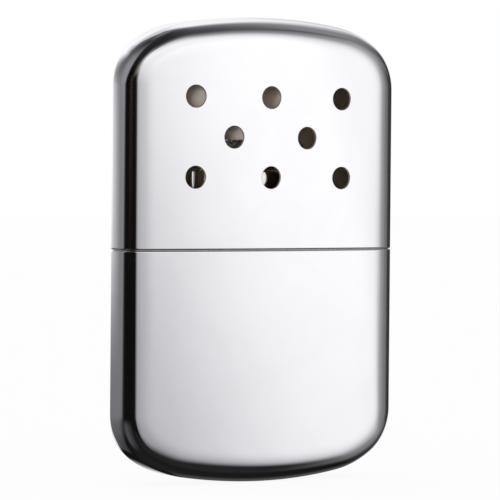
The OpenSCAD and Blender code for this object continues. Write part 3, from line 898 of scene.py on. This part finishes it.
tone_and_painted_shade = add(tree, "ShaderNodeMath", {0: fibre, 1: 0.5, 2: patch}, operation="MULTIPLY_ADD").outputs[0]
# painted shade: the weave lightens the colour on the crests of the threads and darkens it in the
# valleys between them, on top of the random tone of fibre and patch
tone_and_painted_shade = add(tree, "ShaderNodeMath", {0: weave, 1: 0.4, 2: tone_and_painted_shade}, operation="MULTIPLY_ADD").outputs[0]
tint = add(tree, "ShaderNodeValToRGB", {0: tone_and_painted_shade}, stops=[
    (0.55, "#4a4b4d"), (0.8, "#7b7c7e"), (1.0, "#a8a9aa")]).outputs[0]
relief = add(tree, "ShaderNodeMath", {0: fibre, 1: 0.35, 2: weave}, operation="MULTIPLY_ADD").outputs[0]
relief = add(tree, "ShaderNodeBump", {"Height": relief, "Strength": 0.9, "Distance": 0.00018})
coated = add(tree, "ShaderNodeBsdfPrincipled", {
    "Base Color": tint, "Roughness": 0.7, "Normal": relief.outputs[0],
    "Sheen Weight": 0.15, "Specular IOR Level": 0.4}).outputs[0]
add(tree, "ShaderNodeOutputMaterial", {"Surface": coated})

bm = pad_block(*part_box("catalyst_mat"), crown=1.2, depth=0.25, grain=2.2)
pad = finished(bm, "catalyst_pad", glass)
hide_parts("catalyst_mat")
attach(pad, "burner")


# ---------------------------------------------------------------------------
# The cage: a drawn cap of 0.4 mm sheet over the catalyst, its foot turned out under the
# sleeve's flange. Five slots are cut up one face, over the top and down the other.
bright = bpy.data.materials.new("polished_burner_nickel")
tree = fresh_nodes(bright)
here = add(tree, "ShaderNodeTexCoord").outputs["Object"]
# polished after plating, but handled and heated since: a bright warm grey with a haze that
# comes and goes over some 5 mm, on sheet that is wavy over some 3 mm
haze = add(tree, "ShaderNodeTexNoise", {"Vector": here, "Scale": 220.0, "Detail": 4.0}).outputs[0]
wave = add(tree, "ShaderNodeTexNoise", {"Vector": here, "Scale": 350.0, "Detail": 1.0}).outputs[0]
tint = add(tree, "ShaderNodeValToRGB", {0: haze}, stops=[
    (0.35, "#dcd8d0"), (0.65, "#eceae6")]).outputs[0]
rough = add(tree, "ShaderNodeMapRange", {0: haze, 1: 0.35, 2: 0.75, 3: 0.05, 4: 0.11}).outputs[0]
relief = add(tree, "ShaderNodeBump", {"Height": wave, "Strength": 0.25, "Distance": 0.00006})
polished = add(tree, "ShaderNodeBsdfPrincipled", {
    "Base Color": tint, "Metallic": 1.0, "Roughness": rough, "Normal": relief.outputs[0]})
add(tree, "ShaderNodeOutputMaterial", {"Surface": polished.outputs[0]})

cage_l, cage_w, cage_round, bottom_round, brim_round = 24, 5.8, 1.5, 0.25, 0.07
cage_reach = (cage_l - cage_w) / 2
cage_foot, cage_high = (corner.z * 1000 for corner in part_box("burner_cage"))
flange = cage_foot + thin
foot_l, foot_w = ((b - a) * 1000 for a, b in list(zip(*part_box("burner_cage")))[:2])
slots, slot_w, slot_above_sleeve, slot_cuts = 5, 2.7, 0.9, 8
slot_pitch = (cage_l - cage_w / 2) / slots
slot_centre = flange + thin + slot_above_sleeve + slot_w / 2

bm = bmesh.new()
foot = oblong_loop(bm, foot_l, foot_w, flange, cuts=1)
base = oblong_loop(bm, cage_l + 2 * bottom_round, cage_w + 2 * bottom_round, flange, cuts=1)
bmesh.ops.bridge_loops(bm, edges=foot + base)
section = (bend(-bottom_round, flange + bottom_round, bottom_round, -90, -180, 3)
           + [(0, slot_centre)]
           + bend(cage_round, cage_high - cage_round, cage_round, 0, 90, 7))
crown = draw_wall(bm, base, oblong_outward(cage_reach), section)
bmesh.ops.contextual_create(bm, geom=crown)
for slot_x in ((i - (slots - 1) / 2) * slot_pitch for i in range(slots)):
    for i in range(slot_cuts + 1):
        x = mm(slot_x + slot_w / 2 * math.cos(math.pi * i / slot_cuts))
        above = [f for f in bm.faces if f.calc_center_median().z > mm(flange + 0.2)]
        bmesh.ops.bisect_plane(bm, geom=list({g for f in above for g in (*f.verts, *f.edges, f)}),
                               dist=1e-8, plane_co=(x, 0, 0), plane_no=(1, 0, 0))
    opened = [f for f in bm.faces if abs(f.calc_center_median().x - mm(slot_x)) < mm(slot_w) / 2
              and f.calc_center_median().z > mm(slot_centre)]
    bmesh.ops.delete(bm, geom=opened, context="FACES")
    for vert in bm.verts:
        off = abs(vert.co.x - mm(slot_x)) * 1000
        if abs(vert.co.z - mm(slot_centre)) < same_place and off < slot_w / 2 - 0.001:
            vert.co.z -= mm(math.sqrt((slot_w / 2) ** 2 - off ** 2))
bmesh.ops.recalc_face_normals(bm, faces=bm.faces)
bmesh.ops.solidify(bm, geom=bm.faces[:], thickness=mm(thin))
brims = [e for e in bm.edges if e.is_manifold and e.calc_face_angle() > math.radians(55)]
bmesh.ops.bevel(bm, geom=brims, offset=mm(brim_round), segments=2, profile=0.5,
                affect="EDGES", material=-1)
cage = finished(bm, "cage", bright)
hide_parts("burner_cage")
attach(cage, "burner")


# ---------------------------------------------------------------------------
# The sleeve: the burner's body, drawn from 0.4 mm sheet and polished. It presses down over
# the neck, flares at its foot, and is turned in at the top to a flange round the cage.
sleeve_low, sleeve_high = (corner.z * 1000 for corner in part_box("burner_sleeve"))
neck_fit, cage_fit = 0.1, 0.1
inner_l, inner_w = neck_l + 2 * neck_fit, neck_w + 2 * neck_fit
flare, top_round, knee_round, flare_round, toe_round, mouth_round = 0.45, 0.6, 0.6, 0.2, 0.12, 0.08
knee = sleeve_low + 2 * thin + flare
flare_turn = math.degrees(math.atan(flare / (thin + flare)))
section = (bend(top_round - thin, sleeve_high - top_round, top_round, 90, 0, 5)
           + bend(-thin - knee_round, knee + round_reach(knee_round, flare_turn), knee_round,
                  180, 180 + flare_turn, 3)
           + bend(flare_round - flare - thin,
                  sleeve_low + thin - round_reach(flare_round, flare_turn), flare_round,
                  flare_turn, 0, 2)
           + bend(toe_round - flare - thin, sleeve_low + toe_round, toe_round, 0, -90, 3)
           + bend(-flare - toe_round, sleeve_low + toe_round, toe_round, -90, -180, 3)
           + [(-flare, sleeve_low + thin), (0, knee)]
           + bend(top_round - thin, sleeve_high - top_round, top_round - thin, 0, 90, 3))
bm = bmesh.new()
top = oblong_loop(bm, inner_l - 2 * section[0][0], inner_w - 2 * section[0][0], sleeve_high)
under = draw_wall(bm, top, oblong_outward(neck_reach), section)
mouth = 2 * (cage_fit + mouth_round)
mouth_section = (bend(0, flange + mouth_round, mouth_round, -90, 0, 2)
                 + bend(0, sleeve_high - mouth_round, mouth_round, 0, 90, 2))
lower = oblong_loop(bm, cage_l + mouth, cage_w + mouth, flange)
upper = draw_wall(bm, lower, lambda point: -oblong_outward(cage_reach)(point), mouth_section)
bmesh.ops.bridge_loops(bm, edges=under + lower)
bmesh.ops.bridge_loops(bm, edges=upper + top)
close_up(bm)
sleeve = finished(bm, "sleeve", bright)
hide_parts("burner_sleeve")
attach(sleeve, "burner")


# ---------------------------------------------------------------------------
# The lid: the upper half of the case, drawn, chromed and buffed like the tank. Its eight
# vents, in rows of three, two and three, are punched through both faces.
vent_radius = mm(2.325)
vents_in_rows = (3, 2, 3)
vent_pitch = mm(18.25)
vent_rise, vent_row = mm(15.3), mm(8.5)
vent_places = [((i - (count - 1) / 2) * vent_pitch, vent_rise + row * vent_row)
               for row, count in enumerate(vents_in_rows) for i in range(count)]
# the window that is opened round a vent, as half its side, the cuts in its upright edges and
# in the spokes between it and the vent, and the width of the ring of faces next to the vent
vent_window, upright_cuts, spoke_cuts = mm(3.6), 9, 4
vent_ring = mm(0.16)


def punch_vent(bm, across, height, facing):
    """Opens a square window in a broad face and fills it up to a round vent with rings of
    small faces, the last a narrow one, which all lie on the curve of the face."""
    window = [f for f in bm.faces if facing * f.normal.y > 0.5
              and abs(f.calc_center_median().x - across) < vent_window
              and abs(f.calc_center_median().z - height) < vent_window]
    border = {e for f in window for e in f.edges}
    bmesh.ops.delete(bm, geom=window, context="FACES")
    border = [e for e in border if e.is_valid]
    uprights = [e for e in border if abs(e.verts[0].co.x - e.verts[1].co.x) < same_place]
    bmesh.ops.subdivide_edges(bm, edges=uprights, cuts=upright_cuts)
    border = [e for e in bm.edges if e.is_boundary and facing * e.verts[0].co.y > 0
              and all(abs(v.co.x - across) < vent_window + mm(1)
                      and abs(v.co.z - height) < vent_window + mm(0.1) for v in e.verts)]
    hole = bmesh.ops.create_circle(
        bm, segments=len(border), radius=vent_radius + vent_ring,
        matrix=Matrix.Translation((across, facing * face_depth(across), height))
        @ Matrix.Rotation(math.pi / 2, 4, "X"))["verts"]
    rim = list({e for v in hole for e in v.link_edges})
    bridge = bmesh.ops.bridge_loops(bm, edges=border + rim)
    bmesh.ops.subdivide_edges(bm, edges=bridge["edges"], cuts=spoke_cuts, use_grid_fill=True)
    drawn = bmesh.ops.extrude_edge_only(bm, edges=rim)["geom"]
    bmesh.ops.scale(bm, verts=only_verts(drawn), vec=(vent_radius / (vent_radius + vent_ring),) * 3,
                    space=Matrix.Translation((-across, -facing * face_depth(across), -height)))
    for vert in bm.verts:
        if (facing * vert.co.y > 0 and abs(vert.co.x - across) < vent_window + mm(1)
                and abs(vert.co.z - height) < vent_window):
            vert.co.y = facing * face_depth(vert.co.x)


bm = case_form()
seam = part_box("lid_shell")[0].z
for row in range(len(vents_in_rows)):
    for side in (-1, 1):
        cut_level(bm, seam + vent_rise + row * vent_row + side * vent_window)
cut_level(bm, seam, drop_below=True)
cut_level(bm, seam + seam_ring)
for across, rise in vent_places:
    for facing in (-1, 1):
        punch_vent(bm, across, seam + rise, facing)
draw_half(bm, seam)
lid = finished(bm, "lid", chrome, nickel, by_area=False)
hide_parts("lid_shell")
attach(lid, "lid")
